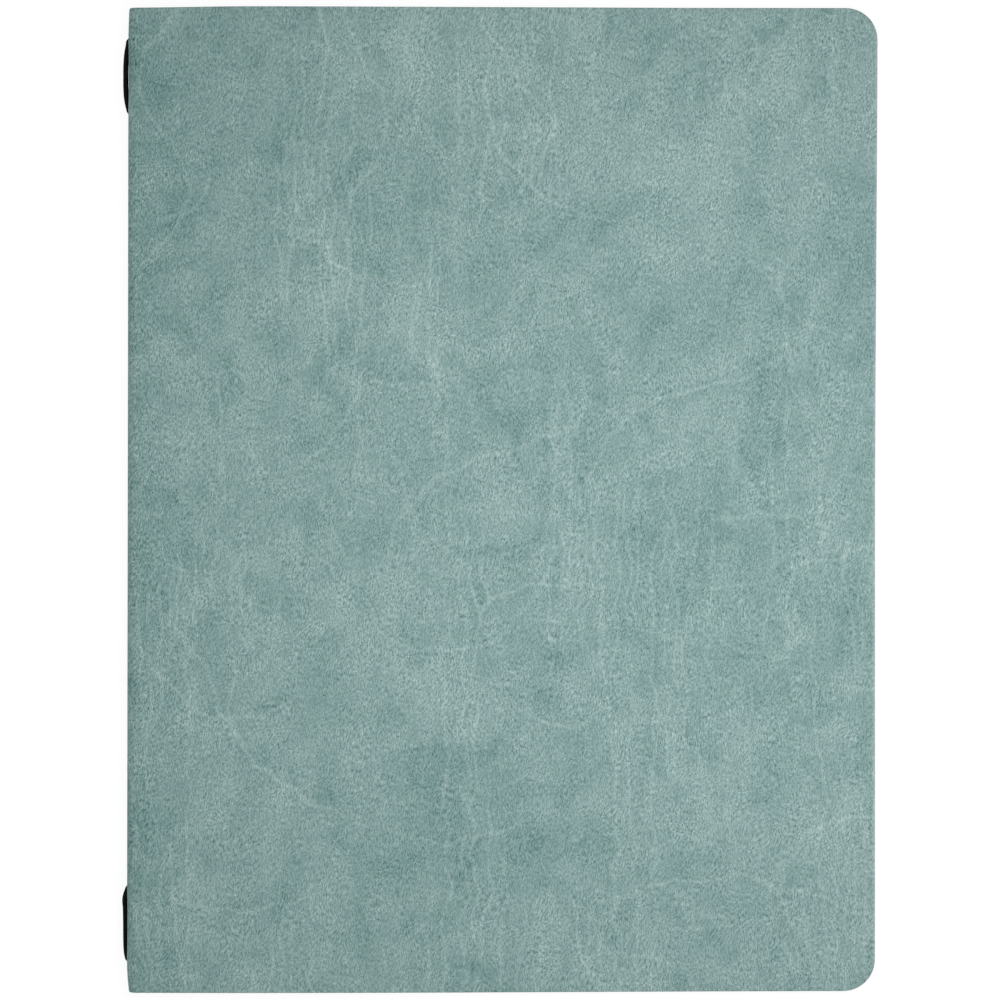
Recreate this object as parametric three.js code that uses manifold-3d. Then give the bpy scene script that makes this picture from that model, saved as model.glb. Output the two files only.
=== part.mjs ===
// Menu cover: one soft sheet folded round a narrow spine, with an elastic cord for the menu sheets.
// The cord is threaded through four holes punched in the spine and knotted inside at both ends.
// The cover lies closed on its back. Millimetres, +Z up, +X to the fore edge, +Y to the head.
import * as THREE from "three";
import { mergeVertices } from "three/addons/utils/BufferGeometryUtils.js";
import Module from "manifold-3d";

const wasm = await Module();
wasm.setup();

// Sheet and fold
const coverWidth = 235.5; // outside of the spine to the fore edge
const coverHeight = 310; // tail to head
const sheetThickness = 1.8;
const foldThickness = 9; // outside of the closed cover over its spine
const bendRadius = 3; // outside radius of the two bends that frame the spine
const cornerRadius = 10; // fore-edge corners
const settleLength = 200; // from the upper bend to where the front cover lies on the back cover
const restGap = 0.3; // air between the two covers where they lie together
const slitWidth = 0.3; // free gap between neighbouring pieces of the sheet at a hinge line

// Elastic cord and its four holes
const cordDiameter = 1.6;
const holeDiameter = 2.8;
const outerHoleInset = 10.4; // from the head or tail edge to the centre of the nearest hole
const innerHoleInset = 32.8;
const cordClearance = 0.2; // between the cord and the sheet that it lies along
const knotDiameter = 4.4;
const knotLength = 3.4;
const cordTailLength = 7; // free end beyond each knot

// Fineness of the faceting
const bendSteps = 8; // facets in each half of a bend
const settleSteps = 24;
const cornerSteps = 10;
const holeSides = 24;
const cordSides = 8;
const stepsPerCordPoint = 3;
const knotSides = 14;

// Places that follow from the sizes above
const cordStandOut = cordDiameter + cordClearance;
const spineFaceX = (cordStandOut - coverWidth) / 2; // the cord's humps count in the box that is centred on X = 0
const foreEdgeX = spineFaceX + coverWidth;
const bendX = spineFaceX + bendRadius;
const lowerBendZ = bendRadius;
const upperBendZ = foldThickness - bendRadius;
const spineMidZ = foldThickness / 2;
const spineInsideX = spineFaceX + sheetThickness;
const outerHoleY = coverHeight / 2 - outerHoleInset;
const innerHoleY = coverHeight / 2 - innerHoleInset;
const settleDrop = foldThickness - 2 * sheetThickness - restGap;

// Materials
const sheetMaterial = new THREE.MeshStandardMaterial({ color: 0x87a2a1, roughness: 0.85, metalness: 0 });
const cordMaterial = new THREE.MeshStandardMaterial({ color: 0x14110f, roughness: 0.8, metalness: 0 });

// A closed geometry as a solid that can be joined and cut.
function solidOf(geometry) {
  const bare = geometry.clone();
  bare.deleteAttribute("normal");
  bare.deleteAttribute("uv");
  const merged = mergeVertices(bare, 1e-4);
  return new wasm.Manifold(
    new wasm.Mesh({
      numProp: 3,
      vertProperties: merged.attributes.position.array,
      triVerts: new Uint32Array(merged.index.array),
    }),
  );
}

// A solid as a named mesh.
function meshOf(name, solid, material) {
  const cut = solid.getMesh();
  const geometry = new THREE.BufferGeometry();
  geometry.setAttribute("position", new THREE.BufferAttribute(cut.vertProperties, 3));
  geometry.setIndex(new THREE.BufferAttribute(cut.triVerts, 1));
  const mesh = new THREE.Mesh(geometry, material);
  mesh.name = name;
  return mesh;
}

// A section drawn in X and Z, drawn out from the tail edge to the head edge.
function extrudeAlongHeight(points) {
  const geometry = new THREE.ExtrudeGeometry(new THREE.Shape(points), {
    depth: coverHeight,
    steps: 1,
    bevelEnabled: false,
  });
  geometry.rotateX(Math.PI / 2);
  geometry.translate(0, coverHeight / 2, 0);
  return solidOf(geometry);
}

// Points of an arc about a bend's centre, from one angle to another, at a distance of radius.
function bendArc(centreZ, radius, fromDegrees, toDegrees) {
  const points = [];
  for (let i = 0; i <= bendSteps; i++) {
    const angle = THREE.MathUtils.degToRad(THREE.MathUtils.lerp(fromDegrees, toDegrees, i / bendSteps));
    points.push(new THREE.Vector2(bendX + radius * Math.cos(angle), centreZ + radius * Math.sin(angle)));
  }
  return points;
}

// Half of a bend in the sheet's full thickness: its outside arc out and its inside arc back.
function halfBend(centreZ, fromDegrees, toDegrees) {
  return {
    outside: bendArc(centreZ, bendRadius, fromDegrees, toDegrees),
    inside: bendArc(centreZ, bendRadius - sheetThickness, toDegrees, fromDegrees),
  };
}

// The plane across the middle of a bend, moved half a slit off the hinge line, trims a piece to its share.
function trimAtHinge(solid, centreZ, diagonalDegrees, keepDegrees) {
  const keep = THREE.MathUtils.degToRad(keepDegrees);
  const normal = new THREE.Vector3(Math.cos(keep), 0, Math.sin(keep));
  const diagonal = THREE.MathUtils.degToRad(diagonalDegrees);
  const onLine = new THREE.Vector3(
    bendX + bendRadius * Math.cos(diagonal),
    0,
    centreZ + bendRadius * Math.sin(diagonal),
  );
  return solid.trimByPlane(normal.toArray(), normal.dot(onLine) + slitWidth / 2);
}

// The outline that both covers are cut to: square at the spine, rounded at the fore edge.
function coverOutline() {
  const shape = new THREE.Shape();
  const tailY = -coverHeight / 2;
  const headY = coverHeight / 2;
  shape.moveTo(spineFaceX, tailY);
  shape.lineTo(foreEdgeX - cornerRadius, tailY);
  shape.absarc(foreEdgeX - cornerRadius, tailY + cornerRadius, cornerRadius, -Math.PI / 2, 0, false);
  shape.absarc(foreEdgeX - cornerRadius, headY - cornerRadius, cornerRadius, 0, Math.PI / 2, false);
  shape.lineTo(spineFaceX, headY);
  shape.closePath();
  const geometry = new THREE.ExtrudeGeometry(shape, {
    depth: foldThickness + 2,
    steps: 1,
    bevelEnabled: false,
    curveSegments: cornerSteps,
  });
  geometry.translate(0, 0, -1);
  return solidOf(geometry);
}

// Back cover: flat on its outside, with the first half of the lower bend.
function backCover(outline) {
  const bend = halfBend(lowerBendZ, 270, 225);
  const section = [
    new THREE.Vector2(foreEdgeX, 0),
    ...bend.outside,
    ...bend.inside,
    new THREE.Vector2(foreEdgeX, sheetThickness),
  ];
  const blank = extrudeAlongHeight(section).intersect(outline);
  return trimAtHinge(blank, lowerBendZ, 225, 315);
}

// How far the front cover's outside has come down at a distance from the upper bend.
function settledBy(distance) {
  return settleDrop * THREE.MathUtils.smoothstep(distance, 0, settleLength);
}

// Front cover: the last half of the upper bend, then a long soft curve down onto the back cover.
function frontCover(outline) {
  const bend = halfBend(upperBendZ, 135, 90);
  const outside = [];
  const inside = [];
  for (let i = 1; i <= settleSteps; i++) {
    const distance = (settleLength * i) / settleSteps;
    const z = foldThickness - settledBy(distance);
    outside.push(new THREE.Vector2(bendX + distance, z));
    inside.unshift(new THREE.Vector2(bendX + distance, z - sheetThickness));
  }
  const restTop = foldThickness - settleDrop;
  const section = [
    ...bend.outside,
    ...outside,
    new THREE.Vector2(foreEdgeX, restTop),
    new THREE.Vector2(foreEdgeX, restTop - sheetThickness),
    ...inside,
    ...bend.inside,
  ];
  const blank = extrudeAlongHeight(section).intersect(outline);
  return trimAtHinge(blank, upperBendZ, 135, 45);
}

// One punch through the spine, along X.
function holePunch(y) {
  const geometry = new THREE.CylinderGeometry(holeDiameter / 2, holeDiameter / 2, 3 * sheetThickness, holeSides);
  geometry.rotateZ(Math.PI / 2);
  geometry.translate(spineFaceX + sheetThickness / 2, y, spineMidZ);
  return solidOf(geometry);
}

// Spine: the facing halves of the two bends with the flat strip between them, and its four holes.
function spineStrip() {
  const lower = halfBend(lowerBendZ, 225, 180);
  const upper = halfBend(upperBendZ, 180, 135);
  const section = [...lower.outside, ...upper.outside, ...upper.inside, ...lower.inside];
  let strip = extrudeAlongHeight(section);
  strip = trimAtHinge(strip, lowerBendZ, 225, 135);
  strip = trimAtHinge(strip, upperBendZ, 135, 225);
  for (const y of [-outerHoleY, -innerHoleY, innerHoleY, outerHoleY]) {
    strip = strip.subtract(holePunch(y));
  }
  return strip;
}

// A curve that shares its steps out by the points of its route, so that they are close where it bends.
class RouteCurve extends THREE.CatmullRomCurve3 {
  getUtoTmapping(u) {
    return u;
  }
}

// The cord's middle line. It is the same at both ends, so one end is given, from the middle of the
// spine to the free end at the head: along the inside, out, in a hump along the outside, and back in.
function cordRoute() {
  const turn = cordDiameter / 2 + cordClearance; // from the middle line to the sheet that it turns round
  const rim = holeDiameter / 2;
  const insideX = spineInsideX + turn;
  const outsideX = spineFaceX - turn;
  const knotEndX = spineInsideX + cordClearance + knotLength;
  const half = [
    [insideX, innerHoleY / 2],
    [insideX, innerHoleY - 8],
    [insideX, innerHoleY - rim - 0.2],
    [spineInsideX + 0.75 * turn, innerHoleY - rim + 0.66 * turn],
    [spineInsideX, innerHoleY - rim + turn],
    [spineFaceX, innerHoleY + rim - turn],
    [spineFaceX - 0.75 * turn, innerHoleY + rim - 0.66 * turn],
    [outsideX + 0.1, innerHoleY + rim + 0.3],
    [outsideX, innerHoleY + 8],
    [outsideX, outerHoleY - 8],
    [outsideX + 0.1, outerHoleY - rim - 0.3],
    [spineFaceX - 0.75 * turn, outerHoleY - rim + 0.66 * turn],
    [spineFaceX, outerHoleY - rim + turn],
    [spineInsideX, outerHoleY],
    [knotEndX, outerHoleY],
    [knotEndX + cordTailLength, outerHoleY],
  ];
  const route = [
    ...half.toReversed().map(([x, y]) => new THREE.Vector3(x, -y, spineMidZ)),
    new THREE.Vector3(insideX, 0, spineMidZ),
    ...half.map(([x, y]) => new THREE.Vector3(x, y, spineMidZ)),
  ];
  return new RouteCurve(route, false, "centripetal");
}

// Knot at an outer hole, too thick to slip through it.
function cordKnot(y) {
  const geometry = new THREE.SphereGeometry(0.5, knotSides, knotSides - 4);
  geometry.rotateZ(Math.PI / 2);
  geometry.scale(knotLength, knotDiameter, knotDiameter);
  geometry.translate(spineInsideX + cordClearance + knotLength / 2, y, spineMidZ);
  return solidOf(geometry);
}

// Elastic cord: one length with a knot at each end.
function elasticCord() {
  const section = new THREE.Shape();
  for (let i = 0; i < cordSides; i++) {
    const angle = (i / cordSides) * 2 * Math.PI;
    const x = (cordDiameter / 2) * Math.cos(angle);
    const y = (cordDiameter / 2) * Math.sin(angle);
    if (i === 0) section.moveTo(x, y);
    else section.lineTo(x, y);
  }
  section.closePath();
  const route = cordRoute();
  const cord = new THREE.ExtrudeGeometry(section, {
    steps: (route.points.length - 1) * stepsPerCordPoint,
    extrudePath: route,
  });
  return solidOf(cord).add(cordKnot(-outerHoleY)).add(cordKnot(outerHoleY));
}

const outline = coverOutline();
const menuCover = new THREE.Group();
menuCover.add(meshOf("back_cover", backCover(outline), sheetMaterial));
menuCover.add(meshOf("spine", spineStrip(), sheetMaterial));
menuCover.add(meshOf("front_cover", frontCover(outline), sheetMaterial));
menuCover.add(meshOf("elastic_cord", elasticCord(), cordMaterial));

export default menuCover;
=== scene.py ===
# %% [markdown]
# # A menu cover of soft suede-look sheet
# The real cover is one sheet of synthetic leather. It is cut flat, its four outer corners are rounded,
# four holes are punched along its middle, and it is folded round a narrow spine. A black elastic cord
# is threaded through the holes to hold the menu sheets. This lesson makes it in the same order.
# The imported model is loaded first, because it says where every body and hinge is.

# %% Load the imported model
import math

import bmesh
import bpy
from mathutils import Matrix, Vector, noise


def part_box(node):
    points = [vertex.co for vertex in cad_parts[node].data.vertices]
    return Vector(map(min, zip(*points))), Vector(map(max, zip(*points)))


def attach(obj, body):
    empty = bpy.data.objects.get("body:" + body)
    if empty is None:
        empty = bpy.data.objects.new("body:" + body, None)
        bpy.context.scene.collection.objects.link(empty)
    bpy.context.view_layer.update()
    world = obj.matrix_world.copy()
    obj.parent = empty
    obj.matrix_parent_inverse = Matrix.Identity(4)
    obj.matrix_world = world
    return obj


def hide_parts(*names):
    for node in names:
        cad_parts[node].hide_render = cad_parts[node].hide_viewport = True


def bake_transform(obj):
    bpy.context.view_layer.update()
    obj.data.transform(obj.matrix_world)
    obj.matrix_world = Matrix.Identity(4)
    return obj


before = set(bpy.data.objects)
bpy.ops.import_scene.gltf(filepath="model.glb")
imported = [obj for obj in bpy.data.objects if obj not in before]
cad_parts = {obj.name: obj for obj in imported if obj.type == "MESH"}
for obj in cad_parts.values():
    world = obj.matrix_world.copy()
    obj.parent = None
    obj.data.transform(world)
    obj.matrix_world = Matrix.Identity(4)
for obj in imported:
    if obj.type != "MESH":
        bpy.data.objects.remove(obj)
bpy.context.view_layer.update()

# %% [markdown]
# ## Sizes
# Everything is in metres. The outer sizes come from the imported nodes, so the finished sheet lies
# exactly where the hinges expect it. The sizes that a box can't tell, such as the sheet's thickness,
# are the same ones that the solids were made with.

# %% Sizes of the cover
MM = 0.001
SHEET_THICKNESS = 1.8 * MM
BEND_RADIUS = 3.0 * MM  # outside radius of the two bends that frame the spine
CORNER_RADIUS = 10.0 * MM
SETTLE_LENGTH = 200.0 * MM  # from the upper bend to where the front cover lies on the back cover
HOLE_RADIUS = 1.2 * MM
OUTER_HOLE_INSET = 10.4 * MM
INNER_HOLE_INSET = 32.8 * MM

SPINE_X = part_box("spine")[0].x
FORE_EDGE_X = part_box("back_cover")[1].x
HALF_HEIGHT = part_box("back_cover")[1].y
FOLD_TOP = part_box("front_cover")[1].z
REST_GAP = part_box("front_cover")[0].z - SHEET_THICKNESS
BEND_X = SPINE_X + BEND_RADIUS
SPINE_MID_Z = FOLD_TOP / 2
MIDDLE_RADIUS = BEND_RADIUS - SHEET_THICKNESS / 2
BEND_LENGTH = MIDDLE_RADIUS * math.pi / 2
HALF_SPINE = SPINE_MID_Z - BEND_RADIUS  # the flat part of the spine, from its middle line to a bend
PANEL_START = HALF_SPINE + BEND_LENGTH
REACH = PANEL_START + FORE_EDGE_X - BEND_X  # from the spine's middle line to a fore edge, laid flat
SETTLE_DROP = FOLD_TOP - 2 * SHEET_THICKNESS - REST_GAP
OUTER_HOLE_Y = HALF_HEIGHT - OUTER_HOLE_INSET
INNER_HOLE_Y = HALF_HEIGHT - INNER_HOLE_INSET
print("flat sheet", round(2 * REACH / MM, 1), "by", round(2 * HALF_HEIGHT / MM, 1), "mm")

# %% [markdown]
# ## Camera
# The photo looks straight down on the closed cover from well above. A long lens keeps the small
# difference in height between the spine side and the fore edge small, as in the photo. The aim is a
# little off the middle of the cover, because the cover isn't quite in the middle of the photo.

# %% Camera
LENS = 150
CAMERA_HEIGHT = 1.3178
CAMERA_X = 0.35 * MM
CAMERA_Y = -0.15 * MM

camera_data = bpy.data.cameras.new("camera")
camera_data.lens = LENS
camera = bpy.data.objects.new("camera", camera_data)
camera.location = (CAMERA_X, CAMERA_Y, CAMERA_HEIGHT)
bpy.context.collection.objects.link(camera)
bpy.context.scene.camera = camera
print("camera", CAMERA_HEIGHT, "m above the table")

# %% [markdown]
# ## Node helpers
# A material is a small graph. One helper adds a node, sets its plain values and links the sockets
# that are given as sockets. Colours are written as they look on a screen and turned to linear light.

# %% Node helpers
def add_node(tree, kind, inputs=None, **settings):
    """A new node with its settings made, and each input given a value or linked to a socket."""
    made = tree.nodes.new(kind)
    for name, value in settings.items():
        setattr(made, name, value)
    for socket, value in (inputs or {}).items():
        if isinstance(value, bpy.types.NodeSocket):
            tree.links.new(value, made.inputs[socket])
        else:
            made.inputs[socket].default_value = value
    return made


def to_linear(level):
    """One 0 to 255 screen level as linear light, by the usual rule for screens."""
    share = level / 255
    if share <= 0.04045:
        return share / 12.92
    return ((share + 0.055) / 1.055) ** 2.4


def colour(red, green, blue):
    """A colour given by its screen levels."""
    return (to_linear(red), to_linear(green), to_linear(blue), 1.0)


def new_material(name):
    """An empty material, its node tree and its shader, which is linked to the output."""
    material = bpy.data.materials.new(name)
    material.use_nodes = True
    tree = material.node_tree
    tree.nodes.clear()
    shader = add_node(tree, "ShaderNodeBsdfPrincipled")
    add_node(tree, "ShaderNodeOutputMaterial", {"Surface": shader.outputs["BSDF"]})
    return material, tree, shader


# %% [markdown]
# Numbers are worked out by nodes too. These four give a sum or another plain result, move a value
# smoothly from one range to another, and mix two colours.

# %% Sums, ranges and mixes
def calculate(tree, operation, first, second=0.0):
    """The result of one Math node."""
    return add_node(tree, "ShaderNodeMath", {0: first, 1: second}, operation=operation).outputs[0]


def total(tree, *values):
    """The sum of several values."""
    result = values[0]
    for value in values[1:]:
        result = calculate(tree, "ADD", result, value)
    return result


def remap(tree, value, from_low, from_high, to_low=0.0, to_high=1.0):
    """A value moved smoothly from one range to another and held there."""
    made = add_node(
        tree,
        "ShaderNodeMapRange",
        {
            "Value": value,
            "From Min": from_low,
            "From Max": from_high,
            "To Min": to_low,
            "To Max": to_high,
        },
        interpolation_type="SMOOTHSTEP",
    )
    return made.outputs["Result"]


def mix_colours(tree, factor, first, second):
    """A colour between two others."""
    made = add_node(tree, "ShaderNodeMix", {"Factor": factor, 6: first, 7: second}, data_type="RGBA")
    return made.outputs[2]


print("screen grey 128 is", round(to_linear(128), 3), "in linear light")

# %% [markdown]
# ## The suede look
# The sheet's skin is embossed and printed to look like suede. Up close it is a mat of short strokes,
# about a millimetre wide and leaning a little to the right. From further away it has soft darker
# patches, pale veins that run up the sheet in bundles, and a few long sweeping creases. Each of these
# is a noise at its own size, so one ruler is needed: the sheet's flat coordinates, kept in a UV map in
# metres and turned to millimetres here. The pattern then runs over the spine without a break.

# %% Ruler and noise
NOISE_MIDDLE = 0.5  # the middle value of a noise
NOISE_SPREAD = 4  # a noise stays within about a quarter of its middle


def sheet_ruler(tree):
    """The place on the flat sheet, in millimetres."""
    flat = add_node(tree, "ShaderNodeUVMap", uv_map="sheet")
    scaled = add_node(
        tree, "ShaderNodeVectorMath", {0: flat.outputs[0], "Scale": 1 / MM}, operation="SCALE"
    )
    return scaled.outputs[0]


def noise_node(tree, place, across, along, detail, roughness, lean, shift):
    """A noise with cells of a given size in millimetres, leaning to the right in degrees."""
    mapped = add_node(
        tree,
        "ShaderNodeMapping",
        {
            "Vector": place,
            "Location": (shift, shift / 3, 0),
            "Rotation": (0, 0, -math.radians(lean)),
            "Scale": (across, along, 1),
        },
        vector_type="TEXTURE",
    )
    return add_node(
        tree,
        "ShaderNodeTexNoise",
        {"Vector": mapped.outputs[0], "Scale": 1.0, "Detail": detail, "Roughness": roughness},
        noise_dimensions="2D",
    )


def noise_at(tree, place, across, along, detail=0.0, roughness=0.5, lean=0.0, shift=0.0):
    """The value of such a noise, from 0 to 1."""
    return noise_node(tree, place, across, along, detail, roughness, lean, shift).outputs[0]


def swing(tree, value, gain=1.0):
    """A noise moved to swing evenly about zero, by about its gain."""
    centred = calculate(tree, "SUBTRACT", value, NOISE_MIDDLE)
    return calculate(tree, "MULTIPLY", centred, NOISE_SPREAD * gain)


# %% [markdown]
# Suede has no straight lines, so most of its noises read a bent ruler. The thin pale lines of the skin
# come from a trick that is known from maps: where a smooth noise crosses its middle value, it makes a
# contour line. Its slope keeps the line at one width.

# %% Bent ruler and contour lines
SLOPE_STEP = 0.2  # millimetres between the two readings that give a noise's slope
FLANK_WIDTH = 3.0  # how wide the darker flanks are, in widths of the line
FLANK_DEPTH = 0.2  # and how dark, beside the line's strength


def bent_ruler(tree, place, cell, reach, shift):
    """The ruler pushed about by a slow noise, so that what it measures wanders."""
    slow = noise_node(tree, place, cell, cell, detail=1.0, roughness=0.5, lean=0.0, shift=shift)
    centred = add_node(
        tree,
        "ShaderNodeVectorMath",
        {0: slow.outputs["Color"], 1: (NOISE_MIDDLE, NOISE_MIDDLE, NOISE_MIDDLE)},
        operation="SUBTRACT",
    )
    push = NOISE_SPREAD * reach
    pushed = add_node(
        tree,
        "ShaderNodeVectorMath",
        {0: centred.outputs[0], 1: (push, push, 0), 2: place},
        operation="MULTIPLY_ADD",
    )
    return pushed.outputs[0]


def moved_by(tree, place, x, y):
    """The place moved by a distance in X and in Y."""
    return add_node(tree, "ShaderNodeVectorMath", {0: place, 1: (x, y, 0)}, operation="ADD").outputs[0]


def contour_lines(tree, sample, place, width):
    """Pale lines with darker flanks where a noise crosses its middle, like a map's contour lines.

    The height above the line is divided by the slope there, so the lines keep one width.
    """
    here = sample(place)
    rises = []
    for x, y in ((SLOPE_STEP, 0), (0, SLOPE_STEP)):
        rise = calculate(tree, "SUBTRACT", sample(moved_by(tree, place, x, y)), here)
        rises.append(calculate(tree, "MULTIPLY", rise, rise))
    slope = calculate(tree, "DIVIDE", calculate(tree, "SQRT", total(tree, *rises)), SLOPE_STEP)
    above = calculate(tree, "ABSOLUTE", calculate(tree, "SUBTRACT", here, NOISE_MIDDLE))
    away = calculate(tree, "DIVIDE", above, slope)
    line = remap(tree, away, 0.0, width, to_low=1.0, to_high=0.0)
    flanks = remap(tree, away, 0.0, FLANK_WIDTH * width, to_low=FLANK_DEPTH, to_high=0.0)
    return calculate(tree, "SUBTRACT", line, flanks)


# %% [markdown]
# The strokes are two noises that share one bent ruler, so that they turn together, as brushed nap
# does, and an even dust. The patches are three noises, large, middle and small, plus a few darker
# spots. Veins and creases are the contour lines of stretched and large noises. Each has a mask, so
# that it comes and goes along its length.

# %% Strokes and patches
PATCH_ROUGHNESS = 0.7  # how much of the next smaller size a patch holds
SPOT_STRENGTH = 2.2


def suede_grain(tree, place):
    """The short strokes: coarse ones, fine ones and an even dust. Sizes are in millimetres."""
    bent = bent_ruler(tree, place, cell=15.0, reach=1.3, shift=3.0)
    coarse = noise_at(tree, bent, across=1.1, along=1.8, lean=14)
    fine = noise_at(tree, bent, across=0.44, along=1.15, lean=12, shift=17.0)
    dust = noise_at(tree, place, across=0.34, along=0.5, shift=40.0)
    return total(
        tree,
        swing(tree, coarse, gain=0.6),
        swing(tree, fine, gain=1.9),
        swing(tree, dust, gain=1.5),
    )


def patch_noise(tree, place, across, along, lean, shift):
    """A noise with one smaller size added, for the patches."""
    return noise_at(
        tree,
        place,
        across,
        along,
        detail=1.0,
        roughness=PATCH_ROUGHNESS,
        lean=lean,
        shift=shift,
    )


def suede_patches(tree, place):
    """Soft darker and paler patches, from the size of a pea to that of a hand."""
    bent = bent_ruler(tree, place, cell=26.0, reach=4.0, shift=11.0)
    large = patch_noise(tree, bent, across=70.0, along=80.0, lean=0, shift=5.0)
    middle = patch_noise(tree, bent, across=15.0, along=22.0, lean=8, shift=61.0)
    small = patch_noise(tree, place, across=3.6, along=6.5, lean=6, shift=91.0)
    spotted = noise_at(tree, bent, across=10.0, along=13.0, detail=1.0, lean=20, shift=51.0)
    spots = remap(tree, spotted, from_low=0.33, from_high=0.43, to_low=-SPOT_STRENGTH, to_high=0.0)
    return total(
        tree,
        swing(tree, large, gain=2.0),
        swing(tree, middle, gain=2.0),
        swing(tree, small, gain=1.4),
        spots,
    )


# %% Veins and creases
VEIN_ORIGIN = (2000.0, 740.0)  # where in the endless pattern the sheet was cut from
VEIN_WIDTH = 1.1
CREASE_WIDTH = 1.2


def suede_veins(tree, place):
    """Bundles of pale upright lines, and long creases that sweep across them."""
    start = moved_by(tree, place, *VEIN_ORIGIN)
    bent = bent_ruler(tree, start, cell=14.0, reach=1.7, shift=29.0)

    def upright(spot):
        return noise_at(tree, spot, across=6.0, along=120.0, shift=2.0)

    bundled = noise_at(tree, start, across=36.0, along=150.0, detail=1.0, shift=8.0)
    bundles = remap(tree, bundled, from_low=0.45, from_high=0.55)
    lines = contour_lines(tree, upright, bent, VEIN_WIDTH)
    veins = calculate(tree, "MULTIPLY", lines, bundles)
    for shift in (13.0, 77.0):  # two sets of creases

        def sweeping(spot, shift=shift):
            return noise_at(tree, spot, across=100.0, along=68.0, shift=shift)

        broken = noise_at(tree, start, across=70.0, along=70.0, detail=1.0, shift=shift + 8)
        shown = remap(tree, broken, from_low=0.41, from_high=0.49)
        creases = contour_lines(tree, sweeping, bent, CREASE_WIDTH)
        veins = total(tree, veins, calculate(tree, "MULTIPLY", creases, shown))
    return veins


# %% [markdown]
# A painted shade darkens the colour along the fold, and a painted highlight makes a hair-thin band at
# the fore edge paler.
# The colour is built on a middle grey-green. Patches and veins shift it towards a paler, greyer tone,
# and the strokes lighten and darken all three channels alike, as the photo's do. Where a patch is dark
# the nap is worn, so its strokes are fainter, and a slow noise lets them come and go as rubbing does.
# The bump repeats the strokes, so that they catch a low light too. A little sheen gives the soft bloom
# of suede.

# %% Suede values
SKIN_MIDDLE = colour(135, 163, 161)
PATCH_SHADES = (0.0118, 0.0122, 0.0125)  # what one unit of patch or vein adds to red, green and blue
GRAIN_SHADES = (0.0300, 0.0377, 0.0374)  # the same for one unit of stroke
VEIN_STRENGTH = 4.8
WORN_REACH = 2.5  # how dark a patch is where its strokes are at their faintest
WORN_SHARE = 0.14  # and how much fainter they are there
FOLD_SHADE = 3.4  # painted shade: the skin's colour is made a little darker along the fold
FOLD_SHADE_START = 3.0  # millimetres from the spine's middle line
FOLD_SHADE_REACH = 24.0
RIM_HIGHLIGHT = 8.0  # painted highlight: the colour is paler in a hair-thin band at the fore edge
RIM_HIGHLIGHT_WIDTH = 1.2  # millimetres
RUBBED_SHARE = 0.14  # how much rubbing strengthens or weakens the strokes
STROKE_BUMP = 0.3
STROKE_HEIGHT = 0.06 * MM
print("skin", [round(c, 3) for c in SKIN_MIDDLE[:3]])


# %% Shades and bump
def add_shades(tree, base, amount, shades):
    """A colour with an amount of a shade added to each channel."""
    spread = add_node(tree, "ShaderNodeCombineXYZ", {0: amount, 1: amount, 2: amount})
    made = add_node(
        tree,
        "ShaderNodeVectorMath",
        {0: spread.outputs[0], 1: shades, 2: base},
        operation="MULTIPLY_ADD",
    )
    return made.outputs[0]


def finish_shader(tree, shader, base, normal, roughness, **plain):
    """Link colour, normal and roughness to the shader, and set its plain sockets."""
    tree.links.new(base, shader.inputs["Base Color"])
    tree.links.new(normal, shader.inputs["Normal"])
    if isinstance(roughness, bpy.types.NodeSocket):
        tree.links.new(roughness, shader.inputs["Roughness"])
    else:
        shader.inputs["Roughness"].default_value = roughness
    for name, value in plain.items():  # Sheen_Weight stands for the socket "Sheen Weight"
        shader.inputs[name.replace("_", " ")].default_value = value


def bump_node(tree, height, strength, distance):
    """A normal that is tilted as if the surface had this height."""
    inputs = {"Height": height, "Strength": strength, "Distance": distance}
    return add_node(tree, "ShaderNodeBump", inputs).outputs[0]


# %% Suede material
def suede_material():
    """The skin: patches, veins and strokes in the colour, with a painted shade along the fold and a
    painted highlight at the fore edge, and the strokes in the bump.
    """
    material, tree, shader = new_material("suede_skin")
    place = sheet_ruler(tree)
    patches = suede_patches(tree, place)
    worn = remap(tree, patches, -WORN_REACH, WORN_REACH, 1 - WORN_SHARE, 1 + WORN_SHARE)
    rubbing = noise_at(tree, place, across=11.0, along=14.0, detail=1.0, shift=87.0)
    rubbed = remap(
        tree,
        rubbing,
        from_low=0.3,
        from_high=0.7,
        to_low=1 - RUBBED_SHARE,
        to_high=1 + RUBBED_SHARE,
    )
    strokes = suede_grain(tree, place)
    grain = calculate(tree, "MULTIPLY", strokes, calculate(tree, "MULTIPLY", worn, rubbed))
    veins = suede_veins(tree, place)
    across = add_node(tree, "ShaderNodeSeparateXYZ", {0: place}).outputs[0]
    away = calculate(tree, "ABSOLUTE", across)
    # painted shade: the colour is made darker near the fold
    painted_fold_shade = remap(tree, away, FOLD_SHADE_START, FOLD_SHADE_REACH, to_low=-FOLD_SHADE, to_high=0.0)
    rim = REACH / MM
    # painted highlight: a hair-thin paler band at the fore edge
    painted_rim_highlight = remap(tree, away, rim - RIM_HIGHLIGHT_WIDTH, rim, to_low=0.0, to_high=RIM_HIGHLIGHT)
    lines = calculate(tree, "MULTIPLY", veins, VEIN_STRENGTH)
    slow = total(tree, patches, lines, painted_fold_shade, painted_rim_highlight)
    shaded = add_shades(tree, SKIN_MIDDLE[:3], slow, PATCH_SHADES)
    shaded = add_shades(tree, shaded, grain, GRAIN_SHADES)
    rough = remap(tree, patches, -1.0, 1.0, to_low=0.8, to_high=0.68)
    finish_shader(
        tree,
        shader,
        shaded,
        bump_node(tree, strokes, STROKE_BUMP, STROKE_HEIGHT),
        rough,
        Specular_IOR_Level=0.25,
        Sheen_Weight=0.08,
        Sheen_Roughness=0.5,
    )
    return material


suede = suede_material()
print("suede nodes", len(suede.node_tree.nodes))

# %% [markdown]
# ## Cut edge
# A punched and cut synthetic leather shows its backing at the edge: a fibre mat, greyer and browner
# than the skin. The photo has a hair-thin line of it round the cover. The edge has no flat side to lay
# a pattern on, so its noise is one in three dimensions, on the piece's own coordinates.

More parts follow.
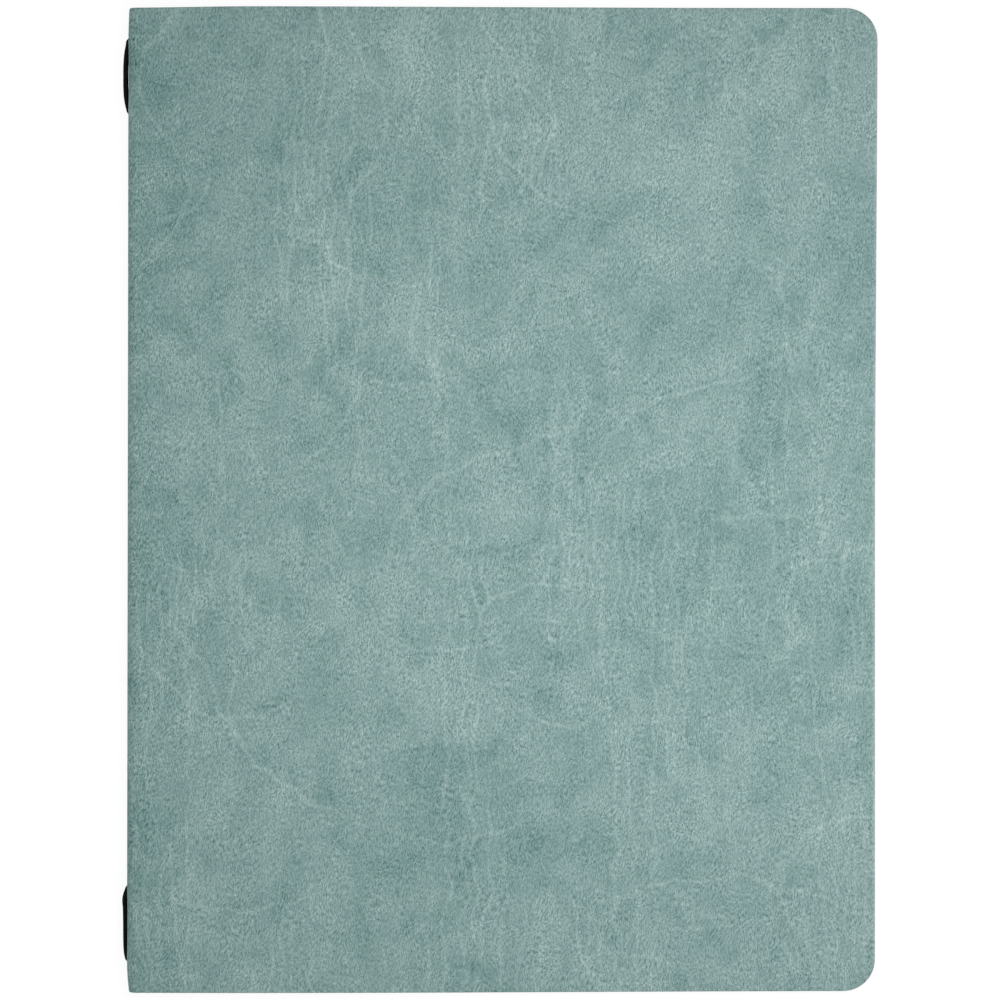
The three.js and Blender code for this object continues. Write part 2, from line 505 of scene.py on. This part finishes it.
# %% Cut edge material
EDGE_TONE = colour(140, 148, 143)
EDGE_DARK = colour(104, 106, 100)
FIBRE_SHARE = 0.6  # the rest of the edge's tone comes from larger patches
EDGE_BUMP = 0.6
EDGE_FIBRE = 0.1 * MM
MATT = 0.9  # the roughness of the edge and of the lining
DULL_SPECULAR = 0.15


def solid_noise(tree, cells, detail):
    """A noise in three dimensions, with so many cells to a metre."""
    place = add_node(tree, "ShaderNodeTexCoord").outputs["Object"]
    inputs = {"Vector": place, "Scale": cells, "Detail": detail}
    return add_node(tree, "ShaderNodeTexNoise", inputs).outputs[0]


def edge_material():
    """The fibre mat that shows where the sheet is cut."""
    material, tree, shader = new_material("cut_edge")
    fibres = solid_noise(tree, cells=1600.0, detail=3.0)
    patches = solid_noise(tree, cells=140.0, detail=2.0)
    fine = calculate(tree, "MULTIPLY", fibres, FIBRE_SHARE)
    coarse = calculate(tree, "MULTIPLY", patches, 1 - FIBRE_SHARE)
    paleness = remap(tree, total(tree, fine, coarse), from_low=0.36, from_high=0.62)
    tone = mix_colours(tree, paleness, EDGE_DARK, EDGE_TONE)
    bump = bump_node(tree, fibres, EDGE_BUMP, EDGE_FIBRE)
    finish_shader(tree, shader, tone, bump, MATT, Specular_IOR_Level=DULL_SPECULAR)
    return material


# %% [markdown]
# ## Inner side
# The inner side isn't in the photo, so it is finished plainly: the same colour, a fine brushed nap and
# none of the veins. It reads the same ruler as the skin.

# %% Lining material
LINING_MIDDLE = colour(124, 148, 147)
NAP_BUMP = 0.5
NAP_HEIGHT = 0.08 * MM


def lining_material():
    """A plain brushed nap in the cover's colour."""
    material, tree, shader = new_material("inner_nap")
    place = sheet_ruler(tree)
    brushed = bent_ruler(tree, place, cell=9.0, reach=1.5, shift=23.0)
    nap = noise_at(tree, brushed, across=0.7, along=1.5, detail=2.0, roughness=0.7, lean=-20)
    tufts = patch_noise(tree, brushed, across=2.6, along=4.2, lean=-20, shift=43.0)
    clouds = noise_at(tree, place, across=34.0, along=34.0, detail=3.0, shift=31.0)
    slow = total(tree, swing(tree, clouds, gain=1.6), swing(tree, tufts, gain=1.3))
    shaded = add_shades(tree, LINING_MIDDLE[:3], slow, PATCH_SHADES)
    shaded = add_shades(tree, shaded, swing(tree, nap, gain=2.1), GRAIN_SHADES)
    bump = bump_node(tree, nap, NAP_BUMP, NAP_HEIGHT)
    finish_shader(tree, shader, shaded, bump, MATT, Specular_IOR_Level=DULL_SPECULAR)
    return material


cut_edge = edge_material()
inner_nap = lining_material()
print("edge nodes", len(cut_edge.node_tree.nodes), "lining nodes", len(inner_nap.node_tree.nodes))

# %% [markdown]
# ## The flat blank
# The sheet starts as the cutter leaves it: a rectangle with four rounded corners. One grid face gives
# the rectangle, and a bevel of its four corner points rounds them. An inset leaves a narrow band along
# the edge, so that the soft edge that comes later stays narrow. Straight cuts then give the sheet
# enough points to bend: close together at the two bends and wide apart over the covers.

# %% Straight cuts
SAME_PLACE = 1e-7  # points this close to a cut lie on it


def even_places(low, high, count):
    """Places from low to high, both included, with equal steps between them."""
    return [low + (high - low) * i / count for i in range(count + 1)]


def cut_across(bm, direction, places):
    """Straight cuts through the whole sheet, square to a direction."""
    for place in places:
        bmesh.ops.bisect_plane(
            bm,
            geom=bm.verts[:] + bm.edges[:] + bm.faces[:],
            dist=SAME_PLACE,
            plane_co=direction * place,
            plane_no=direction,
        )


# %% Cut the blank
EDGE_BAND = 0.9 * MM
CORNER_STEPS = 14
PANEL_STEP = 4.0 * MM
BEND_CUTS = 14
SPINE_CUTS = 6


def flat_blank():
    """The flat sheet without thickness, with its rounded corners and its cuts."""
    bm = bmesh.new()
    size = Matrix.Diagonal((2 * REACH, 2 * HALF_HEIGHT, 1, 1))
    bmesh.ops.create_grid(bm, x_segments=1, y_segments=1, size=0.5, matrix=size)
    bmesh.ops.bevel(
        bm,
        geom=bm.verts[:],
        offset=CORNER_RADIUS,
        offset_type="OFFSET",
        segments=CORNER_STEPS,
        profile=0.5,
        affect="VERTICES",
        material=-1,
    )
    bmesh.ops.inset_region(bm, faces=bm.faces[:], thickness=EDGE_BAND, use_even_offset=True)
    panel_cuts = round((REACH - PANEL_START) / PANEL_STEP)
    height_cuts = round(2 * HALF_HEIGHT / PANEL_STEP)
    bends = even_places(HALF_SPINE, PANEL_START, BEND_CUTS)
    spine = even_places(-HALF_SPINE, HALF_SPINE, SPINE_CUTS)[1:-1]
    panel = even_places(PANEL_START, REACH - CORNER_RADIUS, panel_cuts)[1:]
    across = bends + spine + panel + [-place for place in bends + panel]
    along = even_places(-HALF_HEIGHT, HALF_HEIGHT, height_cuts)[1:-1]
    cut_across(bm, Vector((1, 0, 0)), across)
    cut_across(bm, Vector((0, 1, 0)), along)
    return bm


blank = flat_blank()
print("blank faces", len(blank.faces))

# %% [markdown]
# ## Thickness, soft edges and holes
# Solidify gives the blank its thickness. The sharp rims are found by their angle and beveled, because
# a soft sheet has no sharp corners where it is cut. The four holes are punched with a Boolean
# modifier, whose cutter is one mesh of four round bars, as a multiple punch would be.

# %% Thicken and soften the blank
RIM_SOFTNESS = 0.35 * MM
SHARP = math.radians(50)


def sharp_edges(bm):
    """The edges where two faces meet at a sharp angle."""
    return [e for e in bm.edges if e.is_manifold and e.calc_face_angle(0) > SHARP]


def soften(bm, edges, width, steps):
    """Round the given edges off."""
    bmesh.ops.bevel(
        bm,
        geom=edges,
        offset=width,
        offset_type="OFFSET",
        segments=steps,
        profile=0.5,
        affect="EDGES",
        material=-1,
    )


def thicken(bm):
    """Give the blank its thickness, half above its middle and half below, and a soft rim."""
    bmesh.ops.solidify(bm, geom=bm.faces[:], thickness=SHEET_THICKNESS)
    middle = sum(v.co.z for v in bm.verts) / len(bm.verts)
    bmesh.ops.translate(bm, verts=bm.verts, vec=(0, 0, -middle))
    bmesh.ops.recalc_face_normals(bm, faces=bm.faces)
    soften(bm, sharp_edges(bm), RIM_SOFTNESS, steps=3)


def new_piece(name, bm, *materials):
    """A bmesh as an object at the origin."""
    mesh = bpy.data.meshes.new(name)
    bm.to_mesh(mesh)
    bm.free()
    piece = bpy.data.objects.new(name, mesh)
    bpy.context.collection.objects.link(piece)
    for material in materials:
        mesh.materials.append(material)
    return piece


thicken(blank)
sheet = new_piece("flat_sheet", blank)
print("thick sheet faces", len(sheet.data.polygons))

# %% Punch the four holes
HOLE_SIDES = 28
HOLE_SOFTNESS = 0.1 * MM
HOLE_PLACES = (-OUTER_HOLE_Y, -INNER_HOLE_Y, INNER_HOLE_Y, OUTER_HOLE_Y)


def punch_bars():
    """One mesh of four round bars, a little longer than the sheet is thick."""
    bm = bmesh.new()
    for y in HOLE_PLACES:
        bmesh.ops.create_cone(
            bm,
            cap_ends=True,
            segments=HOLE_SIDES,
            radius1=HOLE_RADIUS,
            radius2=HOLE_RADIUS,
            depth=3 * SHEET_THICKNESS,
            matrix=Matrix.Translation((0, y, 0)),
        )
    return new_piece("punch_bars", bm)


def punched(piece, cutter):
    """A bmesh of the piece with the cutter taken away."""
    cut = piece.modifiers.new("holes", "BOOLEAN")
    cut.operation = "DIFFERENCE"
    cut.solver = "EXACT"
    cut.object = cutter
    seen = piece.evaluated_get(bpy.context.evaluated_depsgraph_get())
    bm = bmesh.new()
    bm.from_mesh(seen.to_mesh())
    seen.to_mesh_clear()
    return bm


punch = punch_bars()
sheet_bm = punched(sheet, punch)
bpy.data.objects.remove(punch)
bpy.data.objects.remove(sheet)
hole_rims = [e for e in sharp_edges(sheet_bm) if abs(e.verts[0].co.x) < HALF_SPINE]
soften(sheet_bm, hole_rims, HOLE_SOFTNESS, steps=2)
print("hole rim edges", len(hole_rims), "faces", len(sheet_bm.faces))

# %% [markdown]
# ## Ruler, sides and folding
# While the sheet is still flat, each corner of each face is given its flat place as a UV, and each
# face its side: skin, lining or cut edge. Then every point is folded. A point's distance from the
# spine's middle line says whether it is on the flat spine, in a bend or on a cover. Its height in the
# sheet says how far out it lies.

# %% Mark the flat sheet
SIDES = {"skin": 0, "lining": 1, "edge": 2}
FLAT_ENOUGH = 0.6  # how much of its normal points up or down where a face is skin or lining


def side_of(face):
    """The name of the side that a face of the flat sheet is on."""
    up = face.normal.z
    if up > FLAT_ENOUGH:
        return "skin"
    if up < -FLAT_ENOUGH:
        return "lining"
    return "edge"


def mark_sides(bm):
    """Give each face its material and each of its corners its flat place."""
    ruler = bm.loops.layers.uv.new("sheet")
    for face in bm.faces:
        face.material_index = SIDES[side_of(face)]
        face.smooth = True
        for loop in face.loops:
            loop[ruler].uv = loop.vert.co.xy


mark_sides(sheet_bm)
print("edge faces", sum(face.material_index == SIDES["edge"] for face in sheet_bm.faces))

# %% Fold the sheet
WAVE_HEIGHT = 0.12 * MM
WAVE_PITCH = 42.0 * MM
WAVE_PLACE = 4.7  # which slice of the endless noise is used


def smooth_step(value):
    """Nought below 0, one above 1, and a smooth rise between."""
    held = min(max(value, 0.0), 1.0)
    return held * held * (3 - 2 * held)


def cover_wave(x, y):
    """The slow unevenness of a soft sheet."""
    return WAVE_HEIGHT * noise.noise(Vector((x / WAVE_PITCH, y / WAVE_PITCH, WAVE_PLACE)))


def fold_point(flat):
    """Where a point of the flat sheet goes. Its Z is its height in the sheet, outside up."""
    across, y, out = flat
    side = 1 if across > 0 else -1
    distance = abs(across)
    if distance <= HALF_SPINE:
        return Vector((SPINE_X + SHEET_THICKNESS / 2 - out, y, SPINE_MID_Z + across))
    if distance <= PANEL_START:
        angle = (distance - HALF_SPINE) / MIDDLE_RADIUS
        radius = MIDDLE_RADIUS + out
        x = BEND_X - radius * math.cos(angle)
        return Vector((x, y, SPINE_MID_Z + side * (HALF_SPINE + radius * math.sin(angle))))
    x = BEND_X + distance - PANEL_START
    if side < 0:
        return Vector((x, y, SHEET_THICKNESS / 2 - out))
    settled = SETTLE_DROP * smooth_step((x - BEND_X) / SETTLE_LENGTH)
    return Vector((x, y, FOLD_TOP - SHEET_THICKNESS / 2 + out - settled + cover_wave(x, y)))


print("settles by", round(SETTLE_DROP / MM, 1), "mm")

# %% [markdown]
# A sheet that is folded by hand is never quite square, and these small moves come from the photo. The
# spine's ends are drawn in a little and rounded, and the cord's pull makes the spine slightly hollow
# between each pair of holes. The fold is a little skew, and the edges swell or fall by a fraction of a
# millimetre.

# %% Ends of the spine
HEAD_PULL = 0.25 * MM  # how far the spine's ends are drawn in
TAIL_PULL = 0.6 * MM
END_LENGTH = 7.0 * MM
CORD_PULL = 0.1 * MM  # how far the cord draws the spine in between its holes
PULL_START = 0.2  # the share of the way between two holes over which that pull sets in
HEAD_ROUNDING = 0.35 * MM  # how round the fold's corners are
TAIL_ROUNDING = 0.5 * MM


def spine_pull(y):
    """How far the spine is drawn in at a height, by the cord and at its free ends."""
    free_end = smooth_step((abs(y) - HALF_HEIGHT + END_LENGTH) / END_LENGTH)
    between = (abs(y) - INNER_HOLE_Y) / (OUTER_HOLE_Y - INNER_HOLE_Y)
    held = smooth_step(between / PULL_START) * smooth_step((1 - between) / PULL_START)
    return (HEAD_PULL if y > 0 else TAIL_PULL) * free_end + CORD_PULL * held


def rounded_end(x, y):
    """The fold's outer corners are rounded a little at the head and tail."""
    radius = HEAD_ROUNDING if y > 0 else TAIL_ROUNDING
    near = min(max((x - SPINE_X) / radius, 0.0), 1.0)
    cut_back = radius * (1 - math.sqrt(1 - (1 - near) ** 2))
    share = smooth_step((abs(y) - HALF_HEIGHT + 3 * radius) / (3 * radius))
    return math.copysign(abs(y) - cut_back * share, y)


print("spine drawn in at the tail by", round(spine_pull(-HALF_HEIGHT) / MM, 2), "mm")

# %% Swell and skew
SKEW = 0.0016  # the fold isn't quite square to the head and tail
FORE_HEAD_SWELL = 0.55 * MM  # the fore edge stands out a little near the head
FORE_TAIL_SWELL = 0.18 * MM  # and less near the tail
HEAD_SWELL = 0.08 * MM  # the head and tail edges stand out a little in the middle
TAIL_SWELL = 0.22 * MM
HEAD_FALL = 0.45 * MM  # and the head edge falls away toward the fold
HEAD_FALL_LENGTH = 40.0 * MM


def unevenness(x, y):
    """How far a hand-folded sheet is out of square at a point, in X and in Y."""
    along = (x - SPINE_X) / (FORE_EDGE_X - SPINE_X)
    fore_swell, end_swell = (FORE_HEAD_SWELL, HEAD_SWELL) if y > 0 else (FORE_TAIL_SWELL, TAIL_SWELL)
    fore = fore_swell * smooth_step(abs(y) / HALF_HEIGHT) * along**3
    end = end_swell * math.sin(math.pi * min(max(along, 0.0), 1.0)) * y / HALF_HEIGHT
    fall = HEAD_FALL * smooth_step(1 - (x - SPINE_X) / HEAD_FALL_LENGTH) * smooth_step(y / HALF_HEIGHT)
    return SKEW * y + fore, end - fall


def shape_sheet(bm):
    """Fold a flat sheet and give it its unevenness."""
    for vert in bm.verts:
        place = fold_point(vert.co)
        place.y = rounded_end(place.x, place.y)
        fade = smooth_step(1 - (place.x - SPINE_X) / (4 * BEND_RADIUS))
        place.x += spine_pull(place.y) * fade
        out_x, out_y = unevenness(place.x, place.y)
        vert.co = place + Vector((out_x, out_y, 0))


corner_moves = unevenness(FORE_EDGE_X, HALF_HEIGHT)
print("head corner moved by", [round(move / MM, 2) for move in corner_moves], "mm")

# %% [markdown]
# ## Two halves
# The imported model has three bodies: back cover, spine and front cover. Each hinge sits in one of the
# two soft bends, and a piece can bend across one hinge only. So the sheet is made as two halves that
# meet on the flat part of the spine. The front half starts to turn a little past the cut, because the
# inner side of a bend is nearer to the other cover than its outer side is. The cut is made while the
# sheet is flat, and its two faces are filled to keep each half a closed solid.

# %% Split and fold
SEAM_PLACE = HALF_SPINE - 0.05 * MM  # just before the front bend begins


def half_of(bm, keep_front):
    """The front or the back half of the flat sheet, closed at the cut and folded."""
    half = bm.copy()
    cut = bmesh.ops.bisect_plane(
        half,
        geom=half.verts[:] + half.edges[:] + half.faces[:],
        dist=SAME_PLACE,
        plane_co=(SEAM_PLACE, 0, 0),
        plane_no=(1, 0, 0),
        clear_inner=keep_front,
        clear_outer=not keep_front,
    )
    rim = [e for e in cut["geom_cut"] if isinstance(e, bmesh.types.BMEdge)]
    bmesh.ops.edgeloop_fill(half, edges=rim, mat_nr=SIDES["edge"])
    for edge in rim:
        edge.smooth = False
    shape_sheet(half)
    bmesh.ops.recalc_face_normals(half, faces=half.faces)
    return half


back_half = new_piece("back_sheet", half_of(sheet_bm, False), suede, inner_nap, cut_edge)
front_half = new_piece("front_sheet", half_of(sheet_bm, True), suede, inner_nap, cut_edge)
sheet_bm.free()
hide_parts("back_cover", "spine")
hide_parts("front_cover")
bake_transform(back_half)
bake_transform(front_half)
print("back half", len(back_half.data.polygons), "front half", len(front_half.data.polygons))

# %% [markdown]
# ## The elastic cord
# The cord is one length of round braided elastic. It lies along the inside of the spine, comes out at
# each inner hole, makes a low hump on the outside and goes in again at the outer hole, where a knot
# holds it. A curve with a round bevel is the natural tool. Its points are chosen from the holes, and
# the knot is an overhand knot, which is a trefoil opened at one of its three tips.

# %% Knots
CORD_RADIUS = 0.86 * MM
KNOT_SCALE = 0.8 * MM  # one unit of the knot's formula
KNOT_STEPS = 20
KNOT_OPENING = 0.5  # radians left out at the opened tip
KNOT_REACH = 3.6  # from the hole to the knot's middle, in knot scales as the next three are
KNOT_SIDESTEP = 3.0
TAIL_START = 2.2  # from the knot's last point to where its tail begins
TAIL_DIP = 0.4
TAIL_SHIFT = 0.6 * MM
TAIL_LENGTH = 7.0 * MM


def knot_points(entry, toward):
    """An overhand knot that starts where the cord comes in. Toward is +1 or -1 along Y."""
    centre = entry + KNOT_SCALE * Vector((KNOT_REACH, toward * KNOT_SIDESTEP, 0))
    points = []
    for i in range(KNOT_STEPS + 1):
        turn = math.pi + KNOT_OPENING + (2 * math.pi - 2 * KNOT_OPENING) * i / KNOT_STEPS
        local = Vector(
            (
                math.sin(turn) + 2 * math.sin(2 * turn),
                toward * (math.cos(turn) - 2 * math.cos(2 * turn)),
                -math.sin(3 * turn),
            )
        )
        points.append(centre + KNOT_SCALE * local)
    tail_x = points[-1].x + TAIL_START * KNOT_SCALE
    return points + [
        Vector((tail_x, entry.y, entry.z - TAIL_DIP * KNOT_SCALE)),
        Vector((tail_x + TAIL_LENGTH, entry.y - toward * TAIL_SHIFT, entry.z)),
    ]


print("points in a knot", len(knot_points(Vector((0, 0, 0)), 1)))

# %% [markdown]
# The cord's two ends are alike, so one function lays out half of it, from the middle of the spine
# through both holes to the knot, and is used once for each end. Its points are listed one by one: they
# are close together where the cord turns into a hole and far apart where it runs straight.

# %% Half of the cord's route
ENTRY_DEPTH = 0.3 * MM  # from the spine's inside to the first point inside it


def end_route(hump, toward):
    """Half of the cord, from the middle of the spine to one knot and its tail."""
    inside = SPINE_X + SHEET_THICKNESS + CORD_RADIUS
    wall = SPINE_X + SHEET_THICKNESS / 2
    # Each point of the route: its X, and how far it is from the middle of the cover.
    route = [
        (inside, INNER_HOLE_Y / 2),
        (inside, INNER_HOLE_Y - 8 * MM),
        (inside, INNER_HOLE_Y - 2.2 * MM),
        (inside - 0.45 * MM, INNER_HOLE_Y - 0.9 * MM),
        (wall, INNER_HOLE_Y - 0.2 * MM),
    ]
    for along, proud in hump:
        y = INNER_HOLE_Y + (OUTER_HOLE_Y - INNER_HOLE_Y) * along
        route.append((SPINE_X - (proud * MM - CORD_RADIUS), y))
    points = [Vector((x - toward * SKEW * y, -toward * y, SPINE_MID_Z)) for x, y in route]
    entry = Vector((inside - CORD_RADIUS + ENTRY_DEPTH, -toward * OUTER_HOLE_Y, SPINE_MID_Z))
    return points + [entry] + knot_points(entry, toward)


# %% Humps and whole route
# Each hump: how far along it from the inner to the outer hole, and how far its outside stands proud
# of the spine, in millimetres.
HEAD_HUMP = (
    (0.0, 0.5),
    (0.06, 0.95),
    (0.16, 1.46),
    (0.3, 1.74),
    (0.5, 1.8),
    (0.66, 1.76),
    (0.83, 1.46),
    (0.93, 1.05),
    (1.0, 0.6),
)
TAIL_HUMP = (
    (0.0, 0.45),
    (0.06, 1.08),
    (0.16, 1.66),
    (0.3, 1.52),
    (0.5, 1.43),
    (0.73, 1.38),
    (0.87, 1.26),
    (0.96, 0.98),
    (1.01, 0.5),
)
head_end = end_route(HEAD_HUMP, -1)
tail_end = end_route(TAIL_HUMP, 1)
middle_point = Vector((SPINE_X + SHEET_THICKNESS + CORD_RADIUS, 0, SPINE_MID_Z))
cord_points = tail_end[::-1] + [middle_point] + head_end
cord_length = sum((b - a).length for a, b in zip(cord_points, cord_points[1:]))
print("cord points", len(cord_points), "length", round(cord_length / MM), "mm")

# %% [markdown]
# ## The cord's braid
# Round elastic is covered with a fine tight braid of matt black yarn. Two sets of slanting ridges,
# one in each direction, are enough at this size. They are measured along and round the cord by the UV
# map that the curve leaves on its mesh.

# %% Cord material
CORD_TONE = colour(10, 8, 7)
# painted shade: the valleys between the braid's ridges are coloured darker
CORD_VALLEY_SHADE = colour(4, 3, 3)
CORD_ROUGHNESS = 0.75
BRAID_PITCH = 1.5 * MM
BRAID_BUMP = 0.5
BRAID_HEIGHT = 0.08 * MM
YARNS_ROUND = 8


def cord_material(length):
    """Matt black yarn in two slanting sets, with painted shade in the valleys between them, on a cord
    of this length.
    """
    material, tree, shader = new_material("braided_elastic")
    flat = add_node(tree, "ShaderNodeUVMap", uv_map="UVMap")
    split = add_node(tree, "ShaderNodeSeparateXYZ", {0: flat.outputs[0]})
    along = calculate(tree, "MULTIPLY", split.outputs[0], 2 * math.pi * length / BRAID_PITCH)
    around = calculate(tree, "MULTIPLY", split.outputs[1], 2 * math.pi * YARNS_ROUND)
    left = calculate(tree, "SINE", calculate(tree, "ADD", along, around))
    right = calculate(tree, "SINE", calculate(tree, "SUBTRACT", along, around))
    braid = calculate(tree, "MAXIMUM", left, right)
    # painted shade: darker colour between the braid's ridges
    tone = mix_colours(tree, remap(tree, braid, from_low=-0.2, from_high=1.0), CORD_VALLEY_SHADE, CORD_TONE)
    bump = bump_node(tree, braid, BRAID_BUMP, BRAID_HEIGHT)
    finish_shader(tree, shader, tone, bump, CORD_ROUGHNESS, Specular_IOR_Level=DULL_SPECULAR)
    return material


# %% [markdown]
# The curve becomes a mesh, because only a mesh is exported. The discs that close its ends come loose
# from the tube, so their points are merged with it, which leaves the cord one closed solid.

# %% Cord mesh
CORD_FACETS = 4  # extra points in each quarter of the cord's round
CORD_STEPS = 6  # steps between two points of the route
WELD = 0.001 * MM


def cord_mesh(points):
    """The route as a round tube, turned to a mesh with its ends closed."""
    curve = bpy.data.curves.new("cord_route", "CURVE")
    curve.dimensions = "3D"
    curve.bevel_depth = CORD_RADIUS
    curve.bevel_resolution = CORD_FACETS
    curve.resolution_u = CORD_STEPS
    curve.use_fill_caps = True
    spline = curve.splines.new("BEZIER")
    spline.bezier_points.add(len(points) - 1)
    for bezier, point in zip(spline.bezier_points, points):
        bezier.co = point
        bezier.handle_left_type = "AUTO"
        bezier.handle_right_type = "AUTO"
    route = bpy.data.objects.new("cord_route", curve)
    bpy.context.collection.objects.link(route)
    seen = route.evaluated_get(bpy.context.evaluated_depsgraph_get())
    mesh = bpy.data.meshes.new_from_object(seen)
    bpy.data.objects.remove(route)
    bm = bmesh.new()
    bm.from_mesh(mesh)
    bmesh.ops.remove_doubles(bm, verts=bm.verts, dist=WELD)  # joins the end caps to the tube
    bm.to_mesh(mesh)
    bm.free()
    return mesh


tube = cord_mesh(cord_points)
print("cord mesh", len(tube.polygons), "faces, UV maps", [layer.name for layer in tube.uv_layers])
tube.materials.clear()
tube.materials.append(cord_material(cord_length))
cord = bpy.data.objects.new("elastic_cord_braided", tube)
bpy.context.collection.objects.link(cord)
for polygon in tube.polygons:
    polygon.use_smooth = True
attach(cord, "spine")
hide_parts("elastic_cord")

# %% [markdown]
# ## Table
# The photo's background is pure white. The table is a plain white plane. To the camera it glows just
# enough to reach white, and the rest of its brightness is the light that falls on it, so the cover
# still has a soft shadow.

# %% Table
TABLE_SIZE = 6.0
TABLE_WHITE = 0.9
WHITE = (1, 1, 1, 1)
GLOW_STRENGTH = 1.05
GLOW_SHARE = 0.89  # the rest of what the camera sees is light that falls on the table


def table_material():
    """A matt white that glows to the camera."""
    material, tree, shader = new_material("white_table")
    shader.inputs["Base Color"].default_value = (TABLE_WHITE, TABLE_WHITE, TABLE_WHITE, 1)
    shader.inputs["Roughness"].default_value = MATT
    shader.inputs["Specular IOR Level"].default_value = 0.0
    glow = add_node(tree, "ShaderNodeEmission", {"Color": WHITE, "Strength": GLOW_STRENGTH})
    path = add_node(tree, "ShaderNodeLightPath")
    seen = total(
        tree,
        path.outputs["Is Camera Ray"],
        path.outputs["Is Glossy Ray"],
        path.outputs["Is Transmission Ray"],
    )
    share = calculate(tree, "MULTIPLY", seen, GLOW_SHARE)
    mixed = add_node(
        tree, "ShaderNodeMixShader", {0: share, 1: shader.outputs["BSDF"], 2: glow.outputs[0]}
    )
    output = next(n for n in tree.nodes if n.type == "OUTPUT_MATERIAL")
    tree.links.new(mixed.outputs[0], output.inputs["Surface"])
    return material


table_bm = bmesh.new()
bmesh.ops.create_grid(table_bm, x_segments=1, y_segments=1, size=TABLE_SIZE / 2)
table = new_piece("table", table_bm, table_material())
print("table", TABLE_SIZE, "m wide")

# %% [markdown]
# ## Light
# The cover is lit at a plain level by a white sky and by one large soft lamp above its fore edge,
# which makes the spine side a little darker, as in the photo. A second, fainter lamp on the spine's
# side keeps the outside of the spine from going dark.

# %% Sky and lamps
SKY_STRENGTH = 0.4
LAMP_POWER = 1.14  # watts
LAMP_SIZE = 0.3
LAMP_PLACE = Vector((0.105, -0.005, 0.39))
FILL_POWER = 0.6
FILL_PLACE = Vector((-0.75, 0.0, 0.35))


def white_sky():
    """A sky that is white to the camera and lights the cover less than that."""
    world = bpy.data.worlds.new("sky")
    world.use_nodes = True
    tree = world.node_tree
    tree.nodes.clear()
    dim = add_node(tree, "ShaderNodeBackground", {"Color": WHITE, "Strength": SKY_STRENGTH})
    bright = add_node(tree, "ShaderNodeBackground", {"Color": WHITE, "Strength": 1.0})
    seen = add_node(tree, "ShaderNodeLightPath").outputs["Is Camera Ray"]
    mixed = add_node(tree, "ShaderNodeMixShader", {0: seen, 1: dim.outputs[0], 2: bright.outputs[0]})
    add_node(tree, "ShaderNodeOutputWorld", {"Surface": mixed.outputs[0]})
    return world


def soft_lamp(name, place, power, size):
    """A round area lamp that is turned to the middle of the cover."""
    data = bpy.data.lights.new(name, "AREA")
    data.shape = "DISK"
    data.size = size
    data.energy = power
    lamp = bpy.data.objects.new(name, data)
    lamp.location = place
    lamp.rotation_mode = "QUATERNION"
    lamp.rotation_quaternion = (-place).to_track_quat("-Z", "Y")
    bpy.context.collection.objects.link(lamp)
    return lamp


bpy.context.scene.world = white_sky()
key_lamp = soft_lamp("key_lamp", LAMP_PLACE, LAMP_POWER, LAMP_SIZE)
fill_lamp = soft_lamp("fill_lamp", FILL_PLACE, FILL_POWER, LAMP_SIZE)
bpy.context.scene.view_settings.view_transform = "Standard"
print("lamps", key_lamp.name, LAMP_POWER, "W", fill_lamp.name, FILL_POWER, "W")
